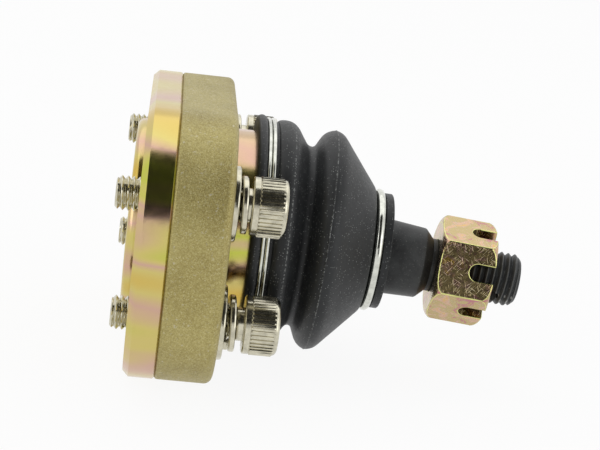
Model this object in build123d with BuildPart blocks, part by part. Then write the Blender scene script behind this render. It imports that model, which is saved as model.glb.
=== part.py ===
from build123d import *
from math import asin, cos, degrees, hypot, pi, radians, sin, sqrt, tan
import os

os.makedirs("parts", exist_ok=True)

# Bolt-on upper suspension ball joint, millimetres.
# +X is the axis of the housing, from the back face of its flange towards the stud.
# +Z is up and +Y is across. The origin is the centre of the screw pattern on that back face.

# ---- driving dimensions ----

# flange and clamp plate, which share one outline
plate_width = 74.0          # along Y
plate_height = 48.0         # along Z
plate_corner = 20.5
flange_thickness = 5.6
flange_back_bevel = 1.05
flange_front_bevel = 0.3
clamp_thickness = 10.0
clamp_back_round = 0.5
clamp_front_round = 1.4

# housing
neck_radius = 17.8
neck_reach = 4.15           # neck left bare between the clamp plate and the boot
neck_clearance = 0.15       # clamp plate over the neck
boss_radius = 17.9
boss_height = 1.8
boss_round = 1.3
groove_depth = 1.2          # where the boot's bead sits
groove_width = 3.9
front_collar_depth = 0.6    # collar in front of the groove, below the neck's radius
front_collar_width = 1.3
swage_thickness = 0.8       # rim that is rolled over the end cap
swage_overlap = 1.6
mouth_draft = 32.0          # half angle of the housing's mouth, degrees
mouth_gap = 0.35            # mouth's edge over the front end of the bearing's hollow

# ball, its bearing and its end cap
ball_radius = 11.0
ball_reach = 13.1           # centre of the ball in front of the flange's back face
ball_clearance = 0.05
seat_wall = 2.2             # bearing shell around the ball's equator
seat_gap = 1.0              # between the two halves of the bearing
seat_front_reach = 6.1      # the front half ends this far in front of the ball's centre
seat_back_reach = 11.4      # the back half ends this far behind it
seat_back_hole = 4.0
seat_clearance = 0.03       # bearing in the housing's bore
cap_thickness = 1.7
cap_ledge = 0.8             # the cap is this much wider in radius than the bore
cap_clearance = 0.05
cap_bevel = 0.2
spring_thickness = 0.45
spring_width = 3.2

# stud, measured along its own axis from the ball's centre
stud_neck_radius = 5.0
stud_neck_length = 15.0
shank_radius = 6.95
shank_start = 19.0
taper_start = 33.4
taper_end = 39.9
taper_ratio = 8.0           # 1:8 on the diameter
thread_radius = 4.925       # M10 x 1.25
stud_length = 58.3
stud_tip_bevel = 0.9
cotter_hole_radius = 1.25
cotter_setback = 4.5        # its middle from the stud's end
cotter_turn = -34.0         # degrees about the stud from the line that points to -Y
stud_drop = 4.4             # rest lean of the stud towards -Z, degrees
stud_swing = 3.1            # and towards -Y

# castle nut
nut_across_flats = 17.0
nut_height = 10.4
nut_gap = 0.9               # from the end of the stud's cone to the nut's seat face
nut_face_radius = 8.3
nut_back_bevel = 1.3
nut_front_bevel = 1.6
nut_roundness = 0.66        # 0.5 would leave flat cones at both ends
nut_turn = 16.5             # degrees that one of its flats is turned up from -Y
slot_width = 3.1
slot_depth = 4.8
nut_thread_clearance = 0.05

# boot
boot_lip_radius = 20.9
boot_lip_width = 1.9
boot_band_radius = 19.7     # floor under the wire ring
boot_wall = 1.5
back_fold_wall = 2.1        # the inner crest's hollow starts this far in
cone_wall = 2.4             # and the cone is thicker where it leaves the outer fold
boot_fit = 0.03
crest_1_radius = 20.4
crest_1_reach = 25.5
valley_radius = 16.7
valley_reach = 30.3
crest_2_radius = 20.55
crest_2_reach = 33.7
crest_2_drop = 0.4          # the outer crest has fallen by this much half way to the cone
cone_back_radius = 18.9
cone_back_width = 2.8       # from the outer crest to the back of the straight cone
boot_tail_radius = 11.45
boot_tail_reach = 42.55
hollow_end_radius = 11.0
hollow_end_reach = 40.5
boot_end_radius = 10.75
boot_end_reach = 45.95
boot_end_width = 1.5
boot_end_drift = 2.35       # the small end hangs this far off the housing's axis
drift_power = 0.8
fold_fullness = 0.75        # under 1 gives folds that stay full down to the valley
boot_lean = 3.0             # lean of the outer fold, degrees
boot_end_lean = 2.2

# wire ring of the boot's large end, and the round wire clip of its small end
ring_wire = 0.75
ring_turns = 1.65
ring_pitch = 0.77
ring_turn = -60.0           # where it starts, degrees about the housing from the top
band_width = 2.1
clip_wire = 1.75
clip_seat_radius = 9.65
clip_gap = 1.2

# M6 socket head cap screws with their washers
screw_edge = 12.0           # along Y, from the end of the plates
screw_rise = 21.2           # along Z
screw_radius = 2.95
screw_length = 22.9         # under the head
screw_tip_bevel = 0.6
head_radius = 5.1
head_height = 6.1
head_round = 0.9
head_base_bevel = 0.25
socket_across_flats = 5.0
socket_depth = 3.0
tapped_radius = 3.0         # major radius of the flange's M6 holes
through_radius = 3.3        # clearance holes of the clamp plate
washer_radius = 6.5
washer_hole_radius = 3.2
washer_thickness = 1.0
washer_bevel = 0.2
split_outer_radius = 4.95
split_inner_radius = 3.25
split_thickness = 1.1
split_opening = 1.0         # axial step between the two ends of the open ring
split_slot = 0.9
split_turns = (-95, -185, -60, -130)
head_gaps = (0.15, 1.2, 0.4, 0.4)   # head to split washer: the screws are run in by hand

# ---- places worked out from them ----

clamp_back = flange_thickness
clamp_front = clamp_back + clamp_thickness
neck_front = clamp_front + neck_reach
groove_front = neck_front + groove_width
housing_front = groove_front + front_collar_width
groove_radius = neck_radius - groove_depth
front_collar_radius = neck_radius - front_collar_depth
bore_radius = ball_radius + seat_wall
shoulder = ball_reach + seat_front_reach
mouth_radius = sqrt(ball_radius**2 - seat_front_reach**2) + mouth_gap
mouth_front_radius = mouth_radius + (housing_front - shoulder) * tan(radians(mouth_draft))
cap_back = -boss_height + swage_thickness
cap_front = cap_back + cap_thickness
cap_radius = bore_radius + cap_ledge

washer_front = clamp_front + washer_thickness
split_front = washer_front + split_thickness + split_opening
screw_span = plate_width - 2 * screw_edge
screw_places = [(y * screw_span / 2, z * screw_rise / 2) for y in (-1, 1) for z in (1, -1)]

lean_x = cos(radians(stud_drop)) * cos(radians(stud_swing))
lean_y = -cos(radians(stud_drop)) * sin(radians(stud_swing))
lean_z = -sin(radians(stud_drop))
ball_centre = Vector(ball_reach, 0, 0)
stud_direction = Vector(lean_x, lean_y, lean_z)
stud_side = Vector(-lean_y, lean_x, 0).normalized()
stud_up = stud_direction.cross(stud_side)
stud_axis = Axis(ball_centre, stud_direction)
stud_half_plane = Plane(ball_centre, x_dir=stud_direction, z_dir=stud_side)
taper_radius = shank_radius - (taper_end - taper_start) / (2 * taper_ratio)
thread_start = taper_end + taper_radius - thread_radius
nut_reach = thread_start + nut_gap
cotter_reach = stud_length - cotter_setback


def stud_section(reach, turn=0.0):
    """Plane square to the stud, with its x axis turned by so many degrees up from -Y."""
    towards = stud_up * sin(radians(turn)) - stud_side * cos(radians(turn))
    return Plane(ball_centre + stud_direction * reach, x_dir=towards, z_dir=stud_direction)


# ---- housing: flange, rear boss and the neck that holds the ball, turned from one forging ----

with BuildPart() as housing:
    with BuildSketch(Plane.YZ) as flange_outline:
        RectangleRounded(plate_width, plate_height, plate_corner)
    extrude(amount=flange_thickness)
    chamfer(edges().group_by(Axis.X)[0], flange_back_bevel)
    chamfer(edges().group_by(Axis.X)[-1], flange_front_bevel)
    with BuildSketch(Plane.XZ) as housing_profile:
        with BuildLine():
            Polyline(
                (-boss_height, 0),
                (-boss_height, boss_radius),
                (flange_thickness / 2, boss_radius),
                (flange_thickness / 2, neck_radius),
                (neck_front, neck_radius),
                (neck_front, groove_radius),
                (groove_front, groove_radius),
                (groove_front, front_collar_radius),
                (housing_front, front_collar_radius),
                (housing_front, 0),
                close=True,
            )
        make_face()
    revolve(axis=Axis.X)
    boss_rim = edges().filter_by(GeomType.CIRCLE).group_by(Axis.X)[0].sort_by(SortBy.RADIUS)[-1]
    fillet(boss_rim, boss_round)
    with BuildSketch(Plane.XZ) as socket_profile:
        with BuildLine():
            Polyline(
                (-boss_height, 0),
                (-boss_height, cap_radius - swage_overlap),
                (cap_back, cap_radius - swage_overlap),
                (cap_back, cap_radius + cap_clearance),
                (cap_front, cap_radius + cap_clearance),
                (cap_front, bore_radius),
                (shoulder, bore_radius),
                (shoulder, mouth_radius),
                (housing_front, mouth_front_radius),
                (housing_front, 0),
                close=True,
            )
        make_face()
    revolve(axis=Axis.X, mode=Mode.SUBTRACT)
    with BuildSketch(Plane.YZ.offset(flange_thickness)):
        with GridLocations(screw_span, screw_rise, 2, 2):
            Circle(tapped_radius)
    extrude(amount=-flange_thickness, mode=Mode.SUBTRACT)
housing.part.label = "housing"
export_step(housing.part, "parts/housing.step")

# ---- clamp plate that slides over the neck ----

with BuildPart() as clamp_plate:
    with BuildSketch(Plane.YZ.offset(clamp_back)):
        RectangleRounded(plate_width, plate_height, plate_corner)
    extrude(amount=clamp_thickness)
    fillet(edges().group_by(Axis.X)[0], clamp_back_round)
    fillet(edges().group_by(Axis.X)[-1], clamp_front_round)
    with BuildSketch(Plane.YZ.offset(clamp_back)):
        Circle(neck_radius + neck_clearance)
        with GridLocations(screw_span, screw_rise, 2, 2):
            Circle(through_radius)
    extrude(amount=clamp_thickness, mode=Mode.SUBTRACT)
clamp_plate.part.label = "clamp_plate"
export_step(clamp_plate.part, "parts/clamp_plate.step")

# ---- end cap, held by the rolled rim of the boss ----

with BuildPart() as end_cap:
    with BuildSketch(Plane.YZ.offset(cap_back)):
        Circle(cap_radius)
    extrude(amount=cap_thickness)
    chamfer(edges().group_by(Axis.X)[0], cap_bevel)
end_cap.part.label = "end_cap"
export_step(end_cap.part, "parts/end_cap.step")

# ---- two-piece plastic bearing around the ball ----

seat_outer = bore_radius - seat_clearance
seat_inner = ball_radius + ball_clearance
seat_mouth = sqrt(seat_inner**2 - seat_front_reach**2)
seat_middle = sqrt(seat_inner**2 - seat_gap**2 / 4)
seat_back = sqrt(seat_inner**2 - seat_back_hole**2)

with BuildPart() as front_seat:
    with BuildSketch(Plane.XZ) as front_seat_profile:
        with BuildLine() as front_seat_line:
            CenterArc(
                (ball_reach, 0),
                seat_inner,
                degrees(asin(seat_mouth / seat_inner)),
                degrees(asin(seat_middle / seat_inner)) - degrees(asin(seat_mouth / seat_inner)),
            )
            Polyline(
                front_seat_line.line @ 1,
                (ball_reach + seat_gap / 2, seat_outer),
                (shoulder, seat_outer),
                front_seat_line.line @ 0,
            )
        make_face()
    revolve(axis=Axis.X)
front_seat.part.label = "front_seat"
export_step(front_seat.part, "parts/front_seat.step")

with BuildPart() as back_seat:
    with BuildSketch(Plane.XZ) as back_seat_profile:
        with BuildLine() as back_seat_line:
            CenterArc(
                (ball_reach, 0),
                seat_inner,
                180 - degrees(asin(seat_middle / seat_inner)),
                degrees(asin(seat_middle / seat_inner)) - degrees(asin(seat_back_hole / seat_inner)),
            )
            Polyline(
                back_seat_line.line @ 1,
                (ball_reach - seat_back_reach, seat_back_hole),
                (ball_reach - seat_back_reach, seat_outer),
                (ball_reach - seat_gap / 2, seat_outer),
                back_seat_line.line @ 0,
            )
        make_face()
    revolve(axis=Axis.X)
back_seat.part.label = "back_seat"
export_step(back_seat.part, "parts/back_seat.step")

# ---- disc spring that presses the bearing on the ball ----

spring_outer = cap_radius - swage_overlap
spring_back = cap_front
spring_front = ball_reach - seat_back_reach
with BuildPart() as disc_spring:
    with BuildSketch(Plane.XZ) as spring_profile:
        with BuildLine():
            Polyline(
                (spring_back, spring_outer),
                (spring_back + spring_thickness, spring_outer),
                (spring_front, spring_outer - spring_width),
                (spring_front - spring_thickness, spring_outer - spring_width),
                close=True,
            )
        make_face()
    revolve(axis=Axis.X)
disc_spring.part.label = "disc_spring"
export_step(disc_spring.part, "parts/disc_spring.step")

# ---- ball stud, leaning in its socket ----

with BuildPart() as ball_stud:
    ball_meet = sqrt(ball_radius**2 - stud_neck_radius**2)
    with BuildSketch(stud_half_plane) as stud_profile:
        with BuildLine():
            CenterArc((0, 0), ball_radius, 180, -180 + degrees(asin(stud_neck_radius / ball_radius)))
            Line((ball_meet, stud_neck_radius), (stud_neck_length, stud_neck_radius))
            Line((stud_neck_length, stud_neck_radius), (shank_start, shank_radius))
            Line((shank_start, shank_radius), (taper_start, shank_radius))
            Line((taper_start, shank_radius), (taper_end, taper_radius))
            Line((taper_end, taper_radius), (thread_start, thread_radius))
            Line((thread_start, thread_radius), (stud_length - stud_tip_bevel, thread_radius))
            Line(
                (stud_length - stud_tip_bevel, thread_radius),
                (stud_length, thread_radius - stud_tip_bevel),
            )
            Line((stud_length, thread_radius - stud_tip_bevel), (stud_length, 0))
            Line((stud_length, 0), (-ball_radius, 0))
        make_face()
    revolve(axis=stud_axis)
    cotter_plane = stud_section(cotter_reach, cotter_turn)
    with BuildSketch(Plane(cotter_plane.origin, x_dir=stud_direction, z_dir=cotter_plane.x_dir)):
        Circle(cotter_hole_radius)
    extrude(amount=thread_radius * 2, both=True, mode=Mode.SUBTRACT)
ball_stud.part.label = "ball_stud"
export_step(ball_stud.part, "parts/ball_stud.step")

# ---- castle nut ----

nut_corner = nut_across_flats / sqrt(3)
with BuildPart() as castle_nut:
    with BuildSketch(stud_section(nut_reach, nut_turn)):
        RegularPolygon(nut_across_flats / 2, 6, major_radius=False, rotation=30)
    extrude(amount=nut_height)
    # both ends are turned round at the corners, which leaves the arcs on the flats
    nut_front = nut_reach + nut_height
    bulge = (nut_corner - nut_face_radius) * nut_roundness
    with BuildSketch(stud_half_plane):
        with BuildLine():
            ThreePointArc(
                (nut_reach, nut_face_radius),
                (nut_reach + nut_back_bevel * (1 - nut_roundness), nut_face_radius + bulge),
                (nut_reach + nut_back_bevel, nut_corner),
            )
            Line((nut_reach + nut_back_bevel, nut_corner), (nut_front - nut_front_bevel, nut_corner))
            ThreePointArc(
                (nut_front - nut_front_bevel, nut_corner),
                (nut_front - nut_front_bevel * (1 - nut_roundness), nut_face_radius + bulge),
                (nut_front, nut_face_radius),
            )
            Polyline(
                (nut_front, nut_face_radius),
                (nut_front, 0),
                (nut_reach, 0),
                (nut_reach, nut_face_radius),
            )
        make_face()
    revolve(axis=stud_axis, mode=Mode.INTERSECT)
    with BuildSketch(stud_section(nut_reach)):
        Circle(thread_radius + nut_thread_clearance)
    extrude(amount=nut_height, mode=Mode.SUBTRACT)
    # six round-bottomed slots, one through the middle of each flat
    slot_floor = nut_height - slot_depth + slot_width / 2
    for n in range(3):
        flat = stud_section(nut_reach, nut_turn + 60 * n)
        across = Plane(flat.origin, x_dir=stud_direction, z_dir=flat.x_dir)
        with BuildSketch(across):
            with Locations((slot_floor, 0)):
                Circle(slot_width / 2)
            with Locations((slot_floor + slot_depth / 2, 0)):
                Rectangle(slot_depth, slot_width)
        extrude(amount=nut_across_flats, both=True, mode=Mode.SUBTRACT)
castle_nut.part.label = "castle_nut"
export_step(castle_nut.part, "parts/castle_nut.step")

# ---- boot: a bead in the housing's groove, two folds, and a thick tail on the shank ----

lip_end = neck_front + boot_lip_width
lip_round = boot_lip_width / 2
band_end = lip_end + band_width
side_y = lean_y / hypot(lean_y, lean_z)
side_z = lean_z / hypot(lean_y, lean_z)


def boot_plane(x):
    """Plane of the boot's section that meets the housing's axis near x, drifted and leaning."""
    share = max(0, (x - band_end) / (boot_end_reach - band_end))
    drift = boot_end_drift * share**drift_power
    fold_share = min(1, max(0, (x - band_end) / (crest_2_reach - band_end)))
    tail_share = max(0, (x - crest_2_reach) / (boot_end_reach - crest_2_reach))
    lean = boot_lean * fold_share + (boot_end_lean - boot_lean) * tail_share
    slope = tan(radians(lean))
    origin = (x, drift * side_y, drift * side_z)
    return Plane(origin, x_dir=(0, -side_z, side_y), z_dir=(1, slope * side_y, slope * side_z))


def flank(start, end, steps, fullness=1.0):
    """Reaches and radii of a fold's flank between two crests, as half a wave."""
    stations = []
    for n in range(steps + 1):
        part = n / steps
        radius = start[1] + (end[1] - start[1]) * (1 - cos(pi * part**fullness)) / 2
        stations.append((start[0] + (end[0] - start[0]) * part, radius))
    return stations


# outside of the bellows, as three runs of circles that share their end circles
band = (band_end, boot_band_radius)
crest_1 = (crest_1_reach, crest_1_radius)
valley = (valley_reach, valley_radius)
crest_2 = (crest_2_reach, crest_2_radius)
cone_back_reach = crest_2_reach + cone_back_width
cone_back = (cone_back_reach, cone_back_radius)
cone_front = (boot_tail_reach, boot_tail_radius)
crest_2_front = ((crest_2_reach + cone_back_reach) / 2, crest_2_radius - crest_2_drop)
outer_runs = [
    flank(band, crest_1, 2, fold_fullness) + flank(crest_1, valley, 4, 1 / fold_fullness)[1:],
    flank(valley, crest_2, 4, fold_fullness),
    [crest_2, crest_2_front, cone_back],
    [cone_back, cone_front],
]

# the hollow inside follows it one wall in
hollow_back = (housing_front, front_collar_radius + boot_fit)
hollow_1 = (housing_front + boot_wall, crest_1_radius - back_fold_wall)
hollow_flank = ((hollow_1[0] + valley_reach) / 2, (crest_1_radius + valley_radius) / 2 - boot_wall)
hollow_valley = (valley_reach, valley_radius - boot_wall)
hollow_2 = (crest_2_reach, crest_2_radius - boot_wall)
hollow_cone = (cone_back_reach, cone_back_radius - cone_wall)
hollow_front = (hollow_end_reach, hollow_end_radius)
inner_runs = [
    [hollow_back, hollow_1, hollow_flank, hollow_valley],
    flank(hollow_valley, hollow_2, 4),
    [hollow_2, hollow_cone, hollow_front],
]

with BuildPart() as boot:
    # rolled lip and the band under the wire ring
    with BuildSketch(Plane.XZ) as bead_profile:
        with BuildLine():
            Line((neck_front, 0), (neck_front, boot_lip_radius - lip_round))
            ThreePointArc(
                (neck_front, boot_lip_radius - lip_round),
                (neck_front + lip_round, boot_lip_radius),
                (lip_end, boot_lip_radius - lip_round),
            )
            Polyline(
                (lip_end, boot_lip_radius - lip_round),
                (lip_end, boot_band_radius),
                (band_end, boot_band_radius),
                (band_end, 0),
                (neck_front, 0),
            )
        make_face()
    revolve(axis=Axis.X)
    for run in outer_runs:
        for reach, radius in run:
            with BuildSketch(boot_plane(reach)):
                Circle(radius)
        loft()
    # seat of the clip, then the square-edged end
    with BuildSketch(boot_plane(boot_tail_reach)):
        Circle(clip_seat_radius)
    extrude(amount=boot_end_reach - boot_tail_reach - boot_end_width)
    with BuildSketch(boot_plane(boot_end_reach)):
        Circle(boot_end_radius)
    extrude(amount=-boot_end_width)
    # hollow
    with BuildSketch(Plane.XZ) as bead_hole:
        with BuildLine():
            Polyline(
                (neck_front, 0),
                (neck_front, groove_radius + boot_fit),
                (groove_front, groove_radius + boot_fit),
                (groove_front, front_collar_radius + boot_fit),
                (housing_front + boot_fit, front_collar_radius + boot_fit),
                (housing_front + boot_fit, 0),
                close=True,
            )
        make_face()
    revolve(axis=Axis.X, mode=Mode.SUBTRACT)
    for run in inner_runs:
        for reach, radius in run:
            with BuildSketch(boot_plane(reach)):
                Circle(radius)
        loft(mode=Mode.SUBTRACT)
    with BuildSketch(stud_section(shank_start)):
        Circle(shank_radius + boot_fit)
    extrude(amount=taper_end - shank_start, mode=Mode.SUBTRACT)
boot.part.label = "boot"
export_step(boot.part, "parts/boot.step")

# ---- wire ring of the large end, wound nearly twice around the band ----

ring_radius = boot_band_radius + ring_wire / 2 + boot_fit
ring_back = lip_end + ring_wire / 2 + boot_fit
with BuildPart() as boot_ring:
    with BuildLine() as ring_line:
        Helix(ring_pitch, ring_pitch * ring_turns, ring_radius, (ring_back, 0, 0), (1, 0, 0))
    with BuildSketch(Plane(ring_line.line @ 0, z_dir=ring_line.line % 0)):
        Circle(ring_wire / 2)
    sweep(path=ring_line.line, is_frenet=True)
boot_ring.part.label = "boot_ring"
export_step(boot_ring.part.rotate(Axis.X, ring_turn), "parts/boot_ring.step")

# ---- clip of the small end, a round wire bent into an open ring ----

clip_step = (boot_end_reach - boot_end_width - boot_tail_reach) / 2
clip_radius = clip_seat_radius + clip_wire / 2 + boot_fit
clip_section = boot_plane(boot_tail_reach).offset(clip_step)
with BuildPart() as boot_clip:
    with BuildSketch(Plane(clip_section.origin, x_dir=clip_section.x_dir, z_dir=clip_section.y_dir)):
        with Locations((clip_radius, 0)):
            Circle(clip_wire / 2)
    revolve(
        axis=Axis(clip_section.origin, clip_section.z_dir),
        revolution_arc=360 - degrees(clip_gap / clip_radius),
    )
boot_clip.part.label = "boot_clip"
export_step(boot_clip.part, "parts/boot_clip.step")

# ---- four M6 socket head cap screws, each with a flat washer and an open split ring ----

for number, (y, z) in enumerate(screw_places, start=1):
    screw_axis = Axis((0, y, z), (1, 0, 0))
    head_seat = split_front + head_gaps[number - 1]
    screw_tip = head_seat - screw_length

    with BuildPart() as screw:
        with BuildSketch(Plane((head_seat, y, z), x_dir=(0, 1, 0), z_dir=(1, 0, 0))):
            Circle(head_radius)
        extrude(amount=head_height)
        fillet(edges().group_by(Axis.X)[-1], head_round)
        chamfer(edges().group_by(Axis.X)[0], head_base_bevel)
        with BuildSketch(Plane((head_seat + head_height, y, z), x_dir=(0, 1, 0), z_dir=(1, 0, 0))):
            RegularPolygon(socket_across_flats / 2, 6, major_radius=False)
        extrude(amount=-socket_depth, mode=Mode.SUBTRACT)
        with BuildSketch(Plane((screw_tip, y, z), x_dir=(0, 1, 0), z_dir=(1, 0, 0))):
            Circle(screw_radius)
        extrude(amount=screw_length)
        chamfer(edges().group_by(Axis.X)[0], screw_tip_bevel)
    screw.part.label = f"screw_{number}"
    export_step(screw.part, f"parts/screw_{number}.step")

    with BuildPart() as flat_washer:
        with BuildSketch(Plane((clamp_front, y, z), x_dir=(0, 1, 0), z_dir=(1, 0, 0))):
            Circle(washer_radius)
        extrude(amount=washer_thickness)
        chamfer(edges().group_by(Axis.X)[-1], washer_bevel)
        with BuildSketch(Plane((clamp_front, y, z), x_dir=(0, 1, 0), z_dir=(1, 0, 0))):
            Circle(washer_hole_radius)
        extrude(amount=washer_thickness, mode=Mode.SUBTRACT)
    flat_washer.part.label = f"flat_washer_{number}"
    export_step(flat_washer.part, f"parts/flat_washer_{number}.step")

    # a rectangular wire wound almost once around, its ends one step apart
    split_middle = (split_outer_radius + split_inner_radius) / 2
    split_wound = 1 - split_slot / (2 * pi * split_middle)
    split_back = washer_front + split_thickness / 2
    with BuildPart() as split_washer:
        with BuildLine() as split_line:
            Helix(
                split_opening / split_wound,
                split_opening,
                split_middle,
                (split_back, y, z),
                (1, 0, 0),
            )
        split_start = split_line.line @ 0
        outward = split_start - Vector(split_back, y, z)
        with BuildSketch(Plane(split_start, x_dir=outward, z_dir=split_line.line % 0)):
            Rectangle(split_outer_radius - split_inner_radius, split_thickness)
        sweep(path=split_line.line, is_frenet=True)
    split_washer.part.label = f"split_washer_{number}"
    export_step(
        split_washer.part.rotate(screw_axis, split_turns[number - 1]),
        f"parts/split_washer_{number}.step",
    )
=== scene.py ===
import bpy
import bmesh
from math import acos, cos, degrees, pi, radians, sin, sqrt, tan
from mathutils import Matrix, Vector


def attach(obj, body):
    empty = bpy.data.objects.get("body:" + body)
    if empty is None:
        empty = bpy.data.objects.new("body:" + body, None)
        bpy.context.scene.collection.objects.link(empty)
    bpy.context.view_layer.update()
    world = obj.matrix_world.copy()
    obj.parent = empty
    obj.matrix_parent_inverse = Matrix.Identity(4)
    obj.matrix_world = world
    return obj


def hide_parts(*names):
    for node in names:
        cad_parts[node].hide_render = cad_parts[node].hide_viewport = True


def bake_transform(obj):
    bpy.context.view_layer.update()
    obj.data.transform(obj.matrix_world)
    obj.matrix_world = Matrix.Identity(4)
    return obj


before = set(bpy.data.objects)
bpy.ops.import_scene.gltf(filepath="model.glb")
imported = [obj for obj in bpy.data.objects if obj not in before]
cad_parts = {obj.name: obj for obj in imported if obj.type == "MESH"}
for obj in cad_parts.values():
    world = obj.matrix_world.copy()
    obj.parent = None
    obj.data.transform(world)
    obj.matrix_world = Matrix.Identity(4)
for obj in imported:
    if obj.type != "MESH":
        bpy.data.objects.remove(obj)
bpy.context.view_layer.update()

mm = 0.001
print("frame loaded:", len(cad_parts), "nodes")

# the stud's own frame: its axis leans down and towards the near side, from the ball's centre
studRest = {"ballCentre": (13.1, 0, 0), "drop": 4.4, "swing": 3.1}
studDrop, studSwing = radians(studRest["drop"]), radians(studRest["swing"])
studAxis = Vector((cos(studDrop) * cos(studSwing), -cos(studDrop) * sin(studSwing), -sin(studDrop)))
studSide = Vector((-studAxis.y, studAxis.x, 0)).normalized()
studUp = studAxis.cross(studSide)
ballCentre = Vector(studRest["ballCentre"]) * mm

# a mesh in metres is merged below this distance
weld = {"made": 1e-7, "copied": 2e-6}


def placed(name, data):
    piece = bpy.data.objects.new(name, data)
    bpy.context.scene.collection.objects.link(piece)
    return piece


def shadeSmooth(mesh, sharp):
    mesh.shade_smooth()
    mesh.set_sharp_from_angle(angle=radians(sharp))


def addMesh(name, points, faces, sharp=35):
    mesh = bpy.data.meshes.new(name)
    mesh.from_pydata(points, [], faces)
    mesh.validate()
    shadeSmooth(mesh, sharp)
    return placed(name, mesh)


def turnedRings(rings, steps, place):
    # each ring is (reach, radius), and the radius may be a function of the angle
    points, faces = [], []
    for reach, radius in rings:
        for k in range(steps):
            angle = 2 * pi * k / steps
            points.append(place(reach, radius(angle) if callable(radius) else radius, angle))
    for n in range(len(rings) - 1):
        for k in range(steps):
            a, b = n * steps + k, n * steps + (k + 1) % steps
            faces.append((a, b, b + steps, a + steps))
    return points, faces


def closeEnds(points, faces, rings, steps, place):
    # a pole at each end, so that the turned piece is closed
    for ring, flip in ((0, True), (len(rings) - 1, False)):
        points.append(place(rings[ring][0], 0, 0))
        pole = len(points) - 1
        for k in range(steps):
            a, b = ring * steps + k, ring * steps + (k + 1) % steps
            faces.append((b, a, pole) if flip else (a, b, pole))


def outwards(piece):
    work = bmesh.new()
    work.from_mesh(piece.data)
    bmesh.ops.remove_doubles(work, verts=work.verts, dist=weld["made"])
    bmesh.ops.recalc_face_normals(work, faces=work.faces)
    work.to_mesh(piece.data)
    work.free()


def onStud(reach, radius, angle):
    across = -studSide * cos(angle) + studUp * sin(angle)
    return ballCentre + (studAxis * reach + across * radius) * mm


def plainMesh(piece, name):
    # the evaluated piece as a plain mesh, with no modifier left on it
    bpy.context.view_layer.update()
    seen = piece.evaluated_get(bpy.context.evaluated_depsgraph_get())
    mesh = bpy.data.meshes.new_from_object(seen)
    mesh.name = name
    made = placed(name, mesh)
    bpy.data.objects.remove(piece, do_unlink=True)
    return made


# share of half a pitch that is flat, at the crest and again at the root
threadFlat = 0.1


def threadDepth(reach, angle, pitch, depth, start, end, fade):
    # depth of the thread's groove at this place, running out at both ends
    share = (reach / pitch - angle / (2 * pi)) % 1.0
    wave = (abs(2 * share - 1) - threadFlat) / (1 - 2 * threadFlat)
    run = min(1.0, max(0.0, (reach - start) / fade), max(0.0, (end - reach) / fade))
    return depth * min(1.0, max(0.0, wave)) * run


def newFinish(name, metallic, roughness, **sockets):
    mat = bpy.data.materials.new(name)
    mat.use_nodes = True
    shader = mat.node_tree.nodes["Principled BSDF"]
    shader.inputs["Metallic"].default_value = metallic
    shader.inputs["Roughness"].default_value = roughness
    for socket, value in sockets.items():
        shader.inputs[socket.replace("_", " ")].default_value = value
    return mat, mat.node_tree, shader


def feed(tree, socket, source):
    # links an output to the socket, or sets the socket's own value
    if hasattr(source, "is_output"):
        tree.links.new(source, socket)
    else:
        socket.default_value = source


def addNode(tree, kind, links=(), **values):
    node = tree.nodes.new(kind)
    for key, value in values.items():
        setattr(node, key, value)
    for socket, source in links:
        feed(tree, node.inputs[socket], source)
    return node


def ramp(tree, factor, stops):
    node = addNode(tree, "ShaderNodeValToRGB", [("Fac", factor)])
    elements = node.color_ramp.elements
    while len(elements) < len(stops):
        elements.new(0.5)
    for element, (place, colour) in zip(elements, stops):
        element.position = place
        element.color = (*colour, 1)
    return node.outputs["Color"]


def noise(tree, vector, scale, detail=3.0, roughness=0.55, distortion=0.0):
    node = addNode(tree, "ShaderNodeTexNoise", [
        ("Vector", vector), ("Scale", scale), ("Detail", detail),
        ("Roughness", roughness), ("Distortion", distortion)])
    return node.outputs["Fac"]


def stretched(tree, vector, size):
    node = addNode(tree, "ShaderNodeMapping", [("Vector", vector), ("Scale", size)])
    return node.outputs["Vector"]


def cells(tree, vector, scale):
    # distance from the middle of each cell, and the cell's own random colour
    node = addNode(tree, "ShaderNodeTexVoronoi", [("Vector", vector), ("Scale", scale)], feature="F1")
    own = addNode(tree, "ShaderNodeSeparateColor", [("Color", node.outputs["Color"])])
    return node.outputs["Distance"], own.outputs


def mixed(tree, factor, a, b):
    node = addNode(tree, "ShaderNodeMix", [(0, factor)], data_type="RGBA")
    for socket, colour in ((6, a), (7, b)):
        feed(tree, node.inputs[socket], colour if hasattr(colour, "is_output") else (*colour, 1))
    return node.outputs[2]


def reckon(tree, operation, *sources):
    return addNode(tree, "ShaderNodeMath", enumerate(sources), operation=operation).outputs[0]


def smoothStep(tree, value, low, high):
    node = addNode(tree, "ShaderNodeMapRange", [("Value", value), ("From Min", low), ("From Max", high)],
                   interpolation_type="SMOOTHSTEP")
    return node.outputs["Result"]


def bumped(tree, shader, height, strength, distance):
    node = addNode(tree, "ShaderNodeBump", [
        ("Height", height), ("Strength", strength), ("Distance", distance)])
    feed(tree, shader.inputs["Normal"], node.outputs["Normal"])


def coloured(tree, shader, colour):
    feed(tree, shader.inputs["Base Color"], colour)


def dulled(tree, shader, source, share, least):
    feed(tree, shader.inputs["Roughness"], reckon(tree, "MULTIPLY_ADD", source, share, least))


def objectPlace(tree):
    return addNode(tree, "ShaderNodeTexCoord").outputs["Object"]


def shade(red, green, blue):
    # a colour as it looks on a screen, 0 to 255, made linear
    return tuple(((c / 255 + 0.055) / 1.055) ** 2.4 if c > 10 else c / 255 / 12.92
                 for c in (red, green, blue))


# the tones that yellow chromate takes as its film grows thicker
film = {
    "straw": shade(204, 188, 116), "rose": shade(202, 166, 146), "lime": shade(188, 192, 82),
    "gold": shade(206, 172, 78), "tan": shade(184, 164, 116), "magenta": shade(180, 114, 128),
}


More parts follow.
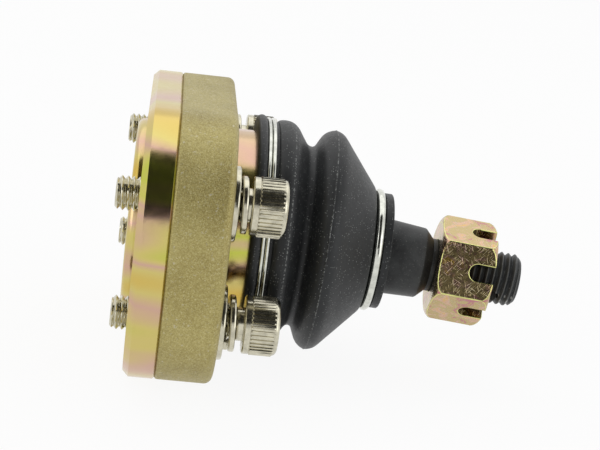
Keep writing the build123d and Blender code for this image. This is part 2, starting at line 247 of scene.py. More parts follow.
def filmTone(tree, thickness, bands):
    return ramp(tree, thickness, [(place, film[tone]) for place, tone in bands])


# scales are per metre, and a relief is a bump's strength and its distance in metres
chromate = {
    "roughness": 0.2, "drain": (15, 37.5, 112.5), "wander": 0.25,
    "bands": ((0.30, "gold"), (0.42, "straw"), (0.50, "rose"), (0.57, "straw"), (0.64, "lime"), (0.74, "rose")),
    "broad": (0.75, 0.97), "evenness": 0.72,
    "haze": 900, "dull": (0.16, 0.12), "brush": (5200, 5200, 120), "brushRoughness": 0.6,
    "relief": (0.07, 0.00003),
}


def chromateFinish(name):
    # bright zinc under a thin chromate film, whose tone wanders with the film's thickness
    mat, tree, shader = newFinish(name, 1.0, chromate["roughness"])
    coords = addNode(tree, "ShaderNodeTexCoord").outputs
    place = coords["Object"]
    thickness = noise(tree, stretched(tree, place, chromate["drain"]), 1.0, 1.0, distortion=chromate["wander"])
    colour = filmTone(tree, thickness, chromate["bands"])
    # the film lies evenly on the broad faces and drains into bands round the edges
    facing = addNode(tree, "ShaderNodeSeparateXYZ", [("Vector", coords["Normal"])]).outputs["X"]
    broad = smoothStep(tree, reckon(tree, "ABSOLUTE", facing), *chromate["broad"])
    coloured(tree, shader, mixed(tree, reckon(tree, "MULTIPLY", broad, chromate["evenness"]), colour, film["straw"]))
    dulled(tree, shader, noise(tree, place, chromate["haze"]), *chromate["dull"])
    brushed = stretched(tree, place, chromate["brush"])
    bumped(tree, shader, noise(tree, brushed, 1.0, roughness=chromate["brushRoughness"]), *chromate["relief"])
    return mat


flangeZinc = chromateFinish("flangeZinc")

nutFilm = {
    "roughness": 0.22, "scale": 260, "wander": 1.2,
    "bands": ((0.30, "gold"), (0.41, "rose"), (0.48, "tan"), (0.58, "tan"), (0.65, "magenta"), (0.74, "lime")),
    # each run of scratches has a turn in radians and a length, and its size is in metres
    "runs": ((0.5, 1.0), (-0.8, 1.3), (1.3, 0.9), (2.3, 1.1)), "scratch": (0.0026, 0.0011, 0.0001),
    "line": (0.69, 0.75), "bare": shade(214, 208, 190), "bareShare": 0.6, "bareDull": 0.3,
    "haze": 1500, "dull": (0.22, 0.1), "mottle": 900, "relief": (0.3, 0.00006),
}


def nutFinish(name):
    # machined flats under the same chromate, with the tool's short scratches in every direction
    mat, tree, shader = newFinish(name, 1.0, nutFilm["roughness"])
    place = objectPlace(tree)
    thickness = noise(tree, place, nutFilm["scale"], distortion=nutFilm["wander"])
    colour = filmTone(tree, thickness, nutFilm["bands"])
    long, deep, thin = nutFilm["scratch"]
    scratches = None
    for turn, length in nutFilm["runs"]:
        run = addNode(tree, "ShaderNodeMapping", [
            ("Vector", place), ("Rotation", (0, turn, 0)), ("Scale", (long / length, deep, thin / length))],
            vector_type="TEXTURE")
        line = smoothStep(tree, noise(tree, run.outputs["Vector"], 1.0, 1.0), *nutFilm["line"])
        scratches = line if scratches is None else reckon(tree, "MAXIMUM", scratches, line)
    # the scratches cut through the film to the zinc
    cut = reckon(tree, "MULTIPLY", scratches, nutFilm["bareShare"])
    coloured(tree, shader, mixed(tree, cut, colour, nutFilm["bare"]))
    hazy = reckon(tree, "MULTIPLY_ADD", noise(tree, place, nutFilm["haze"]), *nutFilm["dull"])
    dulled(tree, shader, scratches, nutFilm["bareDull"], hazy)
    mottle = noise(tree, place, nutFilm["mottle"])
    bumped(tree, shader, reckon(tree, "SUBTRACT", mottle, scratches), *nutFilm["relief"])
    return mat


nutZinc = nutFinish("nutZinc")

blast = {
    "metallic": 0.55, "roughness": 0.5, "pits": 7000,
    "specks": ((0.0, shade(122, 108, 60)), (0.5, shade(166, 152, 96)), (0.93, shade(192, 180, 126)),
               (1.0, shade(216, 210, 172))),
    "patches": 90, "tones": ((0.35, shade(158, 145, 84)), (0.6, shade(188, 176, 112))), "detail": 4.0,
    "scuffs": 1300, "scuffRoughness": 0.7, "scuffed": (0.60, 0.70), "scuffShare": 0.6,
    "scuffTone": shade(206, 202, 184), "dull": (0.35, 0.32), "grain": 3600, "relief": (0.5, 0.00007),
}


def blastedFinish(name):
    # shot-blasted plate under a golden-olive chromate, with fine sparkling facets
    mat, tree, shader = newFinish(name, blast["metallic"], blast["roughness"])
    place = objectPlace(tree)
    pitDepth, facet = cells(tree, place, blast["pits"])
    speck = ramp(tree, facet["Red"], blast["specks"])
    tone = ramp(tree, noise(tree, place, blast["patches"], blast["detail"]), blast["tones"])
    scuff = noise(tree, place, blast["scuffs"], blast["detail"], blast["scuffRoughness"])
    scuffed = reckon(tree, "MULTIPLY", smoothStep(tree, scuff, *blast["scuffed"]), blast["scuffShare"])
    coloured(tree, shader, mixed(tree, scuffed, mixed(tree, 0.5, speck, tone), blast["scuffTone"]))
    dulled(tree, shader, facet["Green"], *blast["dull"])
    bumped(tree, shader, reckon(tree, "ADD", noise(tree, place, blast["grain"]), pitDepth), *blast["relief"])
    return mat


blastedZinc = blastedFinish("blastedZinc")

plating = {
    "stains": 700, "span": (0.3, 0.6), "stained": 0.72, "dull": 0.16, "polish": 0.07,
    "grain": 2600, "grainDetail": 2.0, "relief": (0.06, 0.00003),
}


def platedFinish(name, tone, roughness):
    # bright plating with faint stains, dulled a little where it was handled
    mat, tree, shader = newFinish(name, 1.0, roughness)
    place = objectPlace(tree)
    stain = noise(tree, place, plating["stains"])
    stainTone = tuple(plating["stained"] * c for c in tone)
    coloured(tree, shader, ramp(tree, stain, list(zip(plating["span"], (stainTone, tone)))))
    dulled(tree, shader, stain, plating["dull"], roughness - plating["polish"])
    bumped(tree, shader, noise(tree, place, plating["grain"], plating["grainDetail"]), *plating["relief"])
    return mat


nickelPlate = platedFinish("nickelPlate", shade(208, 203, 182), 0.18)
# the nut's edge rims: a lime tint where the film is thinner, brightened as a painted highlight along the edges
nutEdge = platedFinish("nutEdge", shade(222, 222, 144), 0.24)
brightWire = platedFinish("brightWire", shade(216, 217, 208), 0.12)

phosphate = {
    "metallic": 0.2, "roughness": 0.42, "gloss": 0.35, "detail": 4.0,
    "patches": 420, "tones": ((0.35, shade(32, 33, 34)), (0.7, shade(52, 54, 54))),
    "specks": 3400, "speckRoughness": 0.75, "speckSpan": (0.60, 0.70), "speckTone": shade(112, 112, 110),
    # the lighter tone on the convex crests is partly rubbed metal, partly a painted highlight
    "crestWearAndHighlight": (0.52, 0.60), "crestWearAndHighlightShare": 0.7, "crestWearAndHighlightTone": shade(168, 168, 164), "rubbedMetal": 0.6,
    "dull": (0.4, 0.24), "relief": (0.3, 0.00004),
}


def blackSteelFinish(name):
    # black phosphate, with the bright metal showing in fine specks
    mat, tree, shader = newFinish(
        name, phosphate["metallic"], phosphate["roughness"], Specular_IOR_Level=phosphate["gloss"])
    place = objectPlace(tree)
    specks = noise(tree, place, phosphate["specks"], phosphate["detail"], phosphate["speckRoughness"])
    base = ramp(tree, noise(tree, place, phosphate["patches"], phosphate["detail"]), phosphate["tones"])
    colour = mixed(tree, smoothStep(tree, specks, *phosphate["speckSpan"]), base, phosphate["speckTone"])
    # the convex crests of the thread and the shoulders are painted lighter and more metallic: partly rubbed bare
    # metal, partly a painted highlight along the crests
    convex = addNode(tree, "ShaderNodeNewGeometry").outputs["Pointiness"]
    bare = reckon(tree, "MULTIPLY", smoothStep(tree, convex, *phosphate["crestWearAndHighlight"]), phosphate["crestWearAndHighlightShare"])
    coloured(tree, shader, mixed(tree, bare, colour, phosphate["crestWearAndHighlightTone"]))
    metal = reckon(tree, "MULTIPLY_ADD", bare, phosphate["rubbedMetal"], phosphate["metallic"])
    feed(tree, shader.inputs["Metallic"], metal)
    dulled(tree, shader, specks, *phosphate["dull"])
    bumped(tree, shader, specks, *phosphate["relief"])
    return mat


blackSteel = blackSteelFinish("blackSteel")

rubber = {
    "roughness": 0.45, "gloss": 0.3, "patches": 150, "tones": ((0.3, shade(30, 31, 32)), (0.7, shade(43, 45, 46))),
    # each size of dust has a scale, a width and the share of cells that stay clean
    "dust": ((2600, 0.27, 0.52), (1350, 0.16, 0.74)), "softEdge": 0.4, "dustTone": shade(150, 152, 150),
    "dustShare": 0.7, "seamShare": 0.55, "seamEdge": (0.00016, 0.00005),
    "dots": 2600, "dotDetail": 2.0, "dotSpan": (0.50, 0.60),
    "grain": 1500, "grainDetail": 4.0, "grainRoughness": 0.6, "dull": (0.3, 0.3), "relief": (0.2, 0.00005),
}


def rubberFinish(name, seams):
    # moulded black rubber with a fine grain, pale dust specks and a dotted line of dust along each seam
    mat, tree, shader = newFinish(name, 0.0, rubber["roughness"], Specular_IOR_Level=rubber["gloss"])
    place = objectPlace(tree)
    grain = noise(tree, place, rubber["grain"], rubber["grainDetail"], rubber["grainRoughness"])
    colour = ramp(tree, noise(tree, place, rubber["patches"]), rubber["tones"])
    for scale, width, clean in rubber["dust"]:
        apart, own = cells(tree, place, scale)
        fleck = reckon(tree, "MULTIPLY", smoothStep(tree, apart, width, width * rubber["softEdge"]),
                       reckon(tree, "GREATER_THAN", own["Red"], clean))
        colour = mixed(tree, reckon(tree, "MULTIPLY", fleck, rubber["dustShare"]), colour, rubber["dustTone"])
    dots = smoothStep(tree, noise(tree, place, rubber["dots"], rubber["dotDetail"]), *rubber["dotSpan"])
    for at, normal in seams:
        across = addNode(tree, "ShaderNodeVectorMath", [(0, place), (1, tuple(normal))], operation="DOT_PRODUCT")
        apart = reckon(tree, "ABSOLUTE", reckon(tree, "SUBTRACT", across.outputs["Value"], at.dot(normal)))
        onSeam = reckon(tree, "MULTIPLY", smoothStep(tree, apart, *rubber["seamEdge"]), dots)
        colour = mixed(tree, reckon(tree, "MULTIPLY", onSeam, rubber["seamShare"]), colour, rubber["dustTone"])
    coloured(tree, shader, colour)
    dulled(tree, shader, grain, *rubber["dull"])
    bumped(tree, shader, grain, *rubber["relief"])
    return mat


hidden = {"scale": 300, "span": (0.3, 0.7), "darker": 0.8}


def plainFinish(name, colour, metallic, roughness):
    mat, tree, shader = newFinish(name, metallic, roughness)
    mottle = noise(tree, objectPlace(tree), hidden["scale"])
    dark = tuple(c * hidden["darker"] for c in colour)
    coloured(tree, shader, ramp(tree, mottle, list(zip(hidden["span"], (dark, colour)))))
    return mat


bearingPlastic = plainFinish("bearingPlastic", (0.85, 0.84, 0.80), 0.0, 0.45)
springSteel = plainFinish("springSteel", (0.35, 0.35, 0.36), 1.0, 0.35)
print("finishes made")


def setFinish(piece, finish):
    piece.data.materials.clear()
    piece.data.materials.append(finish)


def paintNode(node, finish):
    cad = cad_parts[node]
    if not cad.material_slots:
        cad.data.materials.append(finish)
    for slot in cad.material_slots:
        slot.material = finish


cadFinishes = {
    "housing": flangeZinc, "end_cap": flangeZinc, "clamp_plate": blastedZinc,
    "front_seat": bearingPlastic, "back_seat": bearingPlastic, "disc_spring": springSteel,
}
for node, finish in cadFinishes.items():
    paintNode(node, finish)

boot = {
    "lipBack": 19.75, "lipWidth": 1.9, "lipRadius": 20.9, "lipBore": 16.7, "lipSteps": 12,
    "bandStart": 0.05, "bandKnee": 1.0, "bandEnd": 23.75, "bandRadius": 19.7,
    "endReach": 45.95, "endDrift": 2.35, "driftPower": 0.8,
    "lean": 3.0, "endLean": 2.2, "foldReach": 33.7, "foldRadius": 20.5, "tailReach": 42.55,
    # reach and radius down the folds, from the band to the tail
    "folds": (
        (23.72, 19.7), (23.82, 19.95), (24.1, 20.2), (24.7, 20.42), (25.4, 20.5), (26.0, 20.45), (26.7, 20.15),
        (27.4, 19.5), (28.2, 18.3), (29.0, 17.15), (29.6, 16.78), (30.2, 16.78), (30.65, 17.2), (31.1, 18.1),
        (31.6, 19.1), (32.2, 19.8), (32.9, 20.25), (33.7, 20.5), (34.5, 20.35), (35.3, 19.95), (36.1, 19.15),
        (37.1, 17.95), (38.6, 16.2), (40.2, 14.3), (41.7, 12.55), (42.3, 11.8), (42.5, 11.4), (42.56, 10.9),
    ),
    "foldSteps": 4, "seams": (26.5, 33.7), "seamRadius": 20, "partingHeight": 0.09, "partingWidth": 0.14,
    "clipSeat": (9.68, 42.66, 44.36), "seatEase": 0.2, "seatShoulders": (0.25, 0.3),
    "endRadius": 10.75, "endWidth": 1.5, "endEase": (0.12, 0.14),
    "boreRadius": 7.0, "boreEase": (0.35, 0.3, 0.02),
    # the hollow inside, one wall in, from the bore back to the lip
    "hollow": ((41.0, 7.1), (40.4, 10.4), (36.5, 16.4), (33.7, 18.9), (30.3, 15.1), (26.5, 18.2),
               (25.1, 17.3), (23.7, 17.25), (23.6, 16.7)),
    "steps": 180, "sharp": 40,
}
driftDown = Vector((0, studAxis.y, studAxis.z)).normalized()


def bootPlace(reach, radius, angle):
    # past the tail the boot runs straight on along its own lean
    at = min(reach, boot["tailReach"])
    share = max(0, (at - boot["bandEnd"]) / (boot["endReach"] - boot["bandEnd"]))
    drift = boot["endDrift"] * share ** boot["driftPower"]
    toFold = min(1, max(0, (at - boot["bandEnd"]) / (boot["foldReach"] - boot["bandEnd"])))
    toTail = max(0, (at - boot["foldReach"]) / (boot["endReach"] - boot["foldReach"]))
    lean = radians(boot["lean"] * toFold + (boot["endLean"] - boot["lean"]) * toTail)
    along = (Vector((1, 0, 0)) + driftDown * tan(lean)).normalized()
    side = along.cross(Vector((0, 0, 1))).normalized()
    up = side.cross(along)
    centre = Vector((at, 0, 0)) + driftDown * drift + along * (reach - at)
    return (centre + side * (cos(angle) * radius) + up * (sin(angle) * radius)) * mm


def seamPlane(reach):
    # the plane of the moulding seam round the boot at this reach
    rim = [bootPlace(reach, boot["seamRadius"], turn * pi / 2) for turn in range(3)]
    return rim[0], (rim[1] - rim[0]).cross(rim[2] - rim[0]).normalized()


bootRubber = rubberFinish("bootRubber", [seamPlane(reach) for reach in boot["seams"]])


def smoothRun(keys, steps):
    # a smooth curve through the key points, with this many steps between each two
    run = []
    for n in range(len(keys) - 1):
        p0, p1, p2, p3 = keys[max(0, n - 1)], keys[n], keys[n + 1], keys[min(len(keys) - 1, n + 2)]
        for k in range(steps):
            t = k / steps
            run.append(tuple(
                0.5 * (2 * p1[i] + (p2[i] - p0[i]) * t + (2 * p0[i] - 5 * p1[i] + 4 * p2[i] - p3[i]) * t * t
                       + (3 * p1[i] - p0[i] - 3 * p2[i] + p3[i]) * t ** 3) for i in (0, 1)))
    run.append(keys[-1])
    return run


def bootOutside():
    half = boot["lipWidth"] / 2
    rings = [(boot["lipBack"], boot["lipBore"])]
    for k in range(boot["lipSteps"] + 1):
        turn = pi * k / boot["lipSteps"]
        rings.append((boot["lipBack"] + half - half * cos(turn), boot["lipRadius"] - half + half * sin(turn)))
    lipEnd = boot["lipBack"] + boot["lipWidth"]
    rings += [(lipEnd + boot[knee], boot["bandRadius"]) for knee in ("bandStart", "bandKnee")]
    for reach, radius in smoothRun(boot["folds"], boot["foldSteps"]):
        ridge = boot["partingHeight"] * max(0, 1 - abs(reach - boot["foldReach"]) / boot["partingWidth"])
        rings.append((reach, radius + ridge))
    for offset in (-boot["partingWidth"], 0, boot["partingWidth"]):
        ridge = boot["partingHeight"] if offset == 0 else 0
        rings.append((boot["foldReach"] + offset, boot["foldRadius"] + ridge))
    return sorted(rings, key=lambda ring: ring[0])


def bootEnd():
    seatRadius, seatBack, seatFront = boot["clipSeat"]
    ease, (backShoulder, frontShoulder) = boot["seatEase"], boot["seatShoulders"]
    startEase, endEase = boot["endEase"]
    boreWiden, boreDepth, boreRim = boot["boreEase"]
    end, radius = boot["endReach"], boot["endRadius"]
    start = end - boot["endWidth"]
    return [
        (seatBack, seatRadius + backShoulder), (seatBack + ease, seatRadius), (seatFront - ease, seatRadius),
        (seatFront, seatRadius + frontShoulder), (start, radius - startEase), (start + startEase, radius),
        (end - endEase, radius), (end, radius - endEase),
        (end, boot["boreRadius"] + boreWiden), (end - boreDepth, boot["boreRadius"] + boreRim),
    ]


def makeBoot():
    rings = bootOutside() + bootEnd() + list(boot["hollow"])
    points, faces = turnedRings(rings, boot["steps"], bootPlace)
    last = (len(rings) - 1) * boot["steps"]
    for k in range(boot["steps"]):
        after = (k + 1) % boot["steps"]
        faces.append((last + k, last + after, after, k))
    piece = addMesh("rubberBoot", points, faces, boot["sharp"])
    outwards(piece)
    return piece


rubberBoot = makeBoot()
setFinish(rubberBoot, bootRubber)
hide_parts("boot")
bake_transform(rubberBoot)
print("boot made")


def newTree(name, sockets):
    # a geometry tree that takes these sockets besides its geometry, and its input node's outputs
    tree = bpy.data.node_groups.new(name, "GeometryNodeTree")
    for socket, kind in {"Geometry": "Geometry", **sockets}.items():
        tree.interface.new_socket(socket, in_out="INPUT", socket_type=f"NodeSocket{kind}")
    tree.interface.new_socket("Geometry", in_out="OUTPUT", socket_type="NodeSocketGeometry")
    return tree, tree.nodes.new("NodeGroupInput").outputs


def endTree(tree, geometry, finish):
    # the tree gives real geometry with the finish on it
    realized = addNode(tree, "GeometryNodeRealizeInstances", [("Geometry", geometry)])
    painted = addNode(tree, "GeometryNodeSetMaterial", [
        ("Geometry", realized.outputs["Geometry"]), ("Material", finish)])
    addNode(tree, "NodeGroupOutput", [("Geometry", painted.outputs["Geometry"])])
    return tree


def wireTree():
    # sweeps a round section along the curve, and closes its ends
    tree, given = newTree("wireAlongPath", {"Wire Radius": "Float", "Sides": "Int", "Finish": "Material"})
    section = addNode(tree, "GeometryNodeCurvePrimitiveCircle", [
        ("Resolution", given["Sides"]), ("Radius", given["Wire Radius"])], mode="RADIUS")
    sweep = addNode(tree, "GeometryNodeCurveToMesh", [
        ("Curve", given["Geometry"]), ("Profile Curve", section.outputs["Curve"]), ("Fill Caps", True)])
    smooth = addNode(tree, "GeometryNodeSetShadeSmooth", [("Geometry", sweep.outputs["Mesh"])])
    return endTree(tree, smooth.outputs["Geometry"], given["Finish"])


def grownBy(piece, tree, name, values):
    # runs the tree on the piece and keeps the result as a plain mesh
    sockets = {item.name: item.identifier for item in tree.interface.items_tree if item.in_out == "INPUT"}
    modifier = piece.modifiers.new("grown", "NODES")
    modifier.node_group = tree
    for socket, value in values.items():
        modifier[sockets[socket]] = value
    return plainMesh(piece, name)


def pathCurve(name, points):
    curve = bpy.data.curves.new(name, "CURVE")
    curve.dimensions = "3D"
    spline = curve.splines.new("POLY")
    spline.points.add(len(points) - 1)
    for point, place in zip(spline.points, points):
        point.co = (*place, 1)
    return placed(name, curve)


wirePath = wireTree()

# wound from an angle in degrees; its two turns change over on the far side
ring = {
    "wire": 0.75, "radius": 20.105, "start": 22.06, "settled": 0.06, "pitch": 0.77, "turns": 1.65, "from": 30,
    "changeFrom": 290, "changeOver": 110, "steps": 260, "sides": 16,
}


def ringPlace(k):
    angle = radians(ring["from"]) + 2 * pi * ring["turns"] * (k / ring["steps"])
    across = 0.5 - 0.5 * cos(pi * min(1, max(0, (degrees(angle) - ring["changeFrom"]) / ring["changeOver"])))
    reach = ring["start"] - ring["settled"] + (ring["pitch"] + ring["settled"]) * across
    return Vector((reach, ring["radius"] * cos(angle), ring["radius"] * sin(angle))) * mm


ringPath = pathCurve("ringPath", [ringPlace(k) for k in range(ring["steps"] + 1)])
bootRing = grownBy(ringPath, wirePath, "bootRing", {
    "Wire Radius": ring["wire"] / 2 * mm, "Sides": ring["sides"], "Finish": brightWire})
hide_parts("boot_ring")
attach(bootRing, "housing")

# its ends stand a gap apart, in degrees
clip = {"wire": 1.75, "radius": 10.555, "reach": 43.5, "gap": 6.5, "from": 205, "steps": 144, "sides": 20}


def clipPlace(k):
    angle = radians(clip["from"] + clip["gap"] / 2 + (360 - clip["gap"]) * k / clip["steps"])
    return bootPlace(clip["reach"], clip["radius"], angle)


clipPath = pathCurve("clipPath", [clipPlace(k) for k in range(clip["steps"] + 1)])
bootClip = grownBy(clipPath, wirePath, "bootClip", {
    "Wire Radius": clip["wire"] / 2 * mm, "Sides": clip["sides"], "Finish": brightWire})
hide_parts("boot_clip")
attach(bootClip, "clip")
print("wires made")

stud = {
    "ball": 11.0, "ballSteps": 36, "neck": (5.0, 15.0), "shank": (6.95, 19.0, 33.4), "taperEnd": 39.9, "taper": 8.0,
    "taperEdge": ((-0.15, 0.01), (0.1, -0.12)), "threadLip": 0.05, "firstRing": 0.1,
    "thread": 4.925, "pitch": 1.25, "threadDepth": 0.5, "threadRings": 14,
    # where the groove starts, how far past the end it would stop, and over what length it runs out
    "groove": (0.6, 2.0, 1.2), "end": 58.3, "endGap": 0.02, "tip": 0.9, "tipFace": 0.6,
    "hole": 1.25, "holeReach": 53.8, "holeTurn": -34.0, "holeSides": 40, "holeLength": 14,
    "steps": 96, "sharp": 30,
}


def studBody():
    rings = []
    ballEnd = degrees(acos(sqrt(stud["ball"] ** 2 - stud["neck"][0] ** 2) / stud["ball"]))
    for k in range(1, stud["ballSteps"] + 1):
        turn = radians(180 - (180 - ballEnd) * k / stud["ballSteps"])
        rings.append((stud["ball"] * cos(turn), stud["ball"] * sin(turn)))
    shankRadius, shankStart, taperStart = stud["shank"]
    taperRadius = shankRadius - (stud["taperEnd"] - taperStart) / (2 * stud["taper"])
    threadStart = stud["taperEnd"] + taperRadius - stud["thread"]
    rings += [(stud["neck"][1], stud["neck"][0]), (shankStart, shankRadius), (taperStart, shankRadius)]
    rings += [(stud["taperEnd"] + along, taperRadius + out) for along, out in stud["taperEdge"]]
    rings.append((threadStart, stud["thread"] - stud["threadLip"]))
    reach = threadStart + stud["firstRing"]
    plainEnd = stud["end"] - stud["tip"]
    grooveStart, groovePast, fade = stud["groove"]
    while reach < stud["end"] - stud["endGap"]:
        limit = stud["thread"] if reach < plainEnd else stud["thread"] - (reach - plainEnd)

        def radius(angle, reach=reach, limit=limit):
            depth = threadDepth(reach, angle, stud["pitch"], stud["threadDepth"],
                                threadStart + grooveStart, stud["end"] + groovePast, fade)
            return min(limit, stud["thread"] - depth)

        rings.append((reach, radius))
        reach += stud["pitch"] / stud["threadRings"]
    rings.append((stud["end"], stud["thread"] - stud["tip"]))
    rings.append((stud["end"], stud["thread"] - stud["tip"] - stud["tipFace"]))
    points, faces = turnedRings(rings, stud["steps"], onStud)
    closeEnds(points, faces, rings, stud["steps"], onStud)
    body = addMesh("studBody", points, faces, stud["sharp"])
    outwards(body)
    return body


def studDrill():
    # the shape of the cross hole for the cotter pin
    turn = radians(stud["holeTurn"])
    along = -studSide * cos(turn) + studUp * sin(turn)
    centre = ballCentre + studAxis * stud["holeReach"] * mm
    turnTo = Vector((0, 0, 1)).rotation_difference(along).to_matrix().to_4x4()
    work = bmesh.new()
    bmesh.ops.create_cone(work, cap_ends=True, segments=stud["holeSides"], radius1=stud["hole"] * mm,
                          radius2=stud["hole"] * mm, depth=stud["holeLength"] * mm)
    bmesh.ops.transform(work, matrix=Matrix.Translation(centre) @ turnTo, verts=work.verts)
    drill = bpy.data.meshes.new("drill")
    work.to_mesh(drill)
    work.free()
    return placed("drill", drill)


def makeStud():
    body, drill = studBody(), studDrill()
    cut = body.modifiers.new("hole", "BOOLEAN")
    cut.operation = "DIFFERENCE"
    cut.solver = "EXACT"
    cut.object = drill
    made = plainMesh(body, "blackStud")
    bpy.data.objects.remove(drill, do_unlink=True)
    shadeSmooth(made.data, stud["sharp"])
    return made


blackStud = makeStud()
setFinish(blackStud, blackSteel)
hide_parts("ball_stud")
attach(blackStud, "stud")
print("stud made")


def mergedCopy(node, name, finishes):
    # the node's own shape with its faces joined up, as a work mesh and the mesh that it goes back to
    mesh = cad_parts[node].data.copy()
    mesh.name = name + "Rough"
    mesh.materials.clear()
    for finish in finishes:
        mesh.materials.append(finish)
    work = bmesh.new()
    work.from_mesh(mesh)
    bmesh.ops.remove_doubles(work, verts=work.verts, dist=weld["copied"])
    bmesh.ops.dissolve_limit(work, angle_limit=radians(1.0), verts=work.verts, edges=work.edges)
    for face in work.faces:
        face.material_index = 0
    return mesh, work


def roughPiece(mesh, work):
    work.to_mesh(mesh)
    work.free()
    return placed(mesh.name, mesh)


# corner and sharp are in degrees, the rim in millimetres and the smallest broad face in square millimetres
nut = {"corner": 35, "rimWidth": 0.15, "rimDrop": 0.06, "broadFace": 3.0, "sharp": 9}


def easeRims(work):
    # a narrow rim round each broad face, dropped a little at the corner, eases the edge and leaves the face flat
    work.normal_update()
    edges = [e for e in work.edges if len(e.link_faces) == 2 and e.calc_face_angle() > radians(nut["corner"])]
    drops = [(v, v.normal.copy()) for v in {v for e in edges for v in e.verts}]
    broad = [face for face in work.faces if face.calc_area() > nut["broadFace"] * mm * mm]
    inset = bmesh.ops.inset_individual(work, faces=broad, thickness=nut["rimWidth"] * mm, use_even_offset=True)
    # the rims take the second finish, a lime tint with a painted highlight along the nut's edges
    for face in inset["faces"]:
        face.material_index = 1
    for v, normal in drops:
        v.co -= normal * nut["rimDrop"] * mm


def makeNut():
    mesh, work = mergedCopy("castle_nut", "castleNut", (nutZinc, nutEdge))
    easeRims(work)
    made = plainMesh(roughPiece(mesh, work), "castleNut")
    shadeSmooth(made.data, nut["sharp"])
    return made


castleNut = makeNut()
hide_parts("castle_nut")
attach(castleNut, "stud")
print("nut made")

# the width of the rounded edge on each kind in millimetres, and corner and sharp in degrees
washer = {"flat_washer": 0.22, "split_washer": 0.3, "corner": 30, "segments": 2, "sharp": 18}


def makeWasher(node, edge):
    name = node + "Rounded"
    piece = roughPiece(*mergedCopy(node, name, (nickelPlate,)))
    bevel = piece.modifiers.new("edges", "BEVEL")
    bevel.width = edge * mm
    bevel.segments = washer["segments"]
    bevel.limit_method = "ANGLE"
    bevel.angle_limit = radians(washer["corner"])
    bevel.use_clamp_overlap = True
    made = plainMesh(piece, name)
    shadeSmooth(made.data, washer["sharp"])
    return made


for kind in ("flat_washer", "split_washer"):
    for n in range(1, 5):
        node = f"{kind}_{n}"
        rounded = makeWasher(node, washer[kind])
        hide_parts(node)
        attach(rounded, "housing")
print("washers made")

screw = {
    # along the screw from the underside of its head
    "radius": 2.95, "pitch": 1.0, "threadDepth": 0.5, "threadRings": 9, "threadPast": 3, "threadFade": 1.0,
    "length": 22.9, "tipBevel": 0.6, "tipFace": 0.1, "tipStep": 0.02, "runOut": 1.2, "neckEase": (0.05, 0.1),
    "head": 6.1, "headRadius": 5.0, "headRound": 0.85, "headSink": 0.02, "headSteps": 8,
    "collar": 1.15, "collarRadius": 5.08, "collarEase": (0.25, 0.2), "collarStep": 0.08,
    "socket": 5.0, "socketDepth": 3.0, "socketMouth": (0.35, 0.18), "socketPoint": (0.5, 0.6), "sharp": 32,
    # the straight knurl: how far each ridge keeps from the collar and the head's round, and its own ends
    "ridges": 40, "ridgeHeight": 0.17, "ridgeShare": 0.6, "ridgeTop": 0.45, "ridgeRoot": 0.15,
    "ridgeGap": 0.12, "ridgePast": 0.25, "ridgeRise": 0.15, "ridgeFall": (0.4, -0.6), "ridgeSharp": 20,
    # where the four stand, and how much further each one is turned
    "span": 50.0, "rise": 21.2, "undersides": (18.85, 19.9, 19.1, 19.1), "turnStep": 0.83, "steps": 72,
}


def alongZ(reach, radius, angle):
    return Vector((radius * cos(angle), radius * sin(angle), reach)) * mm


def hexRadius(flat):
    def radius(angle):
        return flat / 2 / cos((angle % (pi / 3)) - pi / 6)
    return radius


def screwThread():
    tip, threadEnd = -screw["length"], -screw["runOut"]
    rings = [(tip, screw["radius"] - screw["tipBevel"] - screw["tipFace"])]
    reach = tip + screw["tipStep"]
    while reach < threadEnd:
        limit = screw["radius"] - max(0, tip + screw["tipBevel"] - reach)

        def radius(angle, reach=reach, limit=limit):
            depth = threadDepth(reach, angle, screw["pitch"], screw["threadDepth"],
                                tip - screw["threadPast"], threadEnd, screw["threadFade"])
            return min(limit, screw["radius"] - depth)

        rings.append((reach, radius))
        reach += screw["pitch"] / screw["threadRings"]
    return rings


def screwHead():
    front, big, collar, wide = screw["head"], screw["headRadius"], screw["collar"], screw["collarRadius"]
    (back, out), (inset, ease) = screw["neckEase"], screw["collarEase"]
    rings = [(-back, screw["radius"]), (0, screw["radius"] + out), (0, wide - inset), (ease, wide),
             (collar, wide), (collar + screw["collarStep"], big - screw["collarStep"])]
    rounded = screw["headRound"]
    for k in range(screw["headSteps"] + 1):
        turn = pi / 2 * k / screw["headSteps"]
        rings.append((front - rounded + rounded * sin(turn), big - screw["headSink"] - rounded + rounded * cos(turn)))
    widen, mouthDepth = screw["socketMouth"]
    point, pointRadius = screw["socketPoint"]
    floor = front - screw["socketDepth"]
    rings += [(front, hexRadius(screw["socket"] + widen)), (front - mouthDepth, hexRadius(screw["socket"])),
              (floor, hexRadius(screw["socket"])), (floor - point, pointRadius)]
    return rings


def makeScrewBlank():
    rings = screwThread() + screwHead()
    points, faces = turnedRings(rings, screw["steps"], alongZ)
    closeEnds(points, faces, rings, screw["steps"], alongZ)
    blank = addMesh("screwBlank", points, faces, screw["sharp"])
    outwards(blank)
    return blank


def makeRidge():
    # one tooth of the straight knurl, which runs out at both ends
    start = screw["collar"] + screw["ridgeGap"]
    end = screw["head"] - screw["headRound"] + screw["ridgePast"]
    wide = pi * screw["headRadius"] / screw["ridges"] * screw["ridgeShare"]
    high, top, root = screw["ridgeHeight"], wide * screw["ridgeTop"], -screw["ridgeRoot"]
    fall, sunk = screw["ridgeFall"]
    points = []
    for z, lift in ((start, 0.0), (start + screw["ridgeRise"], 1.0), (end - fall, 1.0), (end, sunk)):
        for y, x in ((-wide, root), (-top, high * lift), (top, high * lift), (wide, root)):
            points.append(Vector((x, y, z)) * mm)
    faces = [(0, 3, 2, 1), (12, 13, 14, 15)]
    for n in range(3):
        for k in range(4):
            a, b = n * 4 + k, n * 4 + (k + 1) % 4
            faces.append((a, b, b + 4, a + 4))
    ridge = addMesh("knurlRidge", points, faces, screw["ridgeSharp"])
    outwards(ridge)
    return ridge


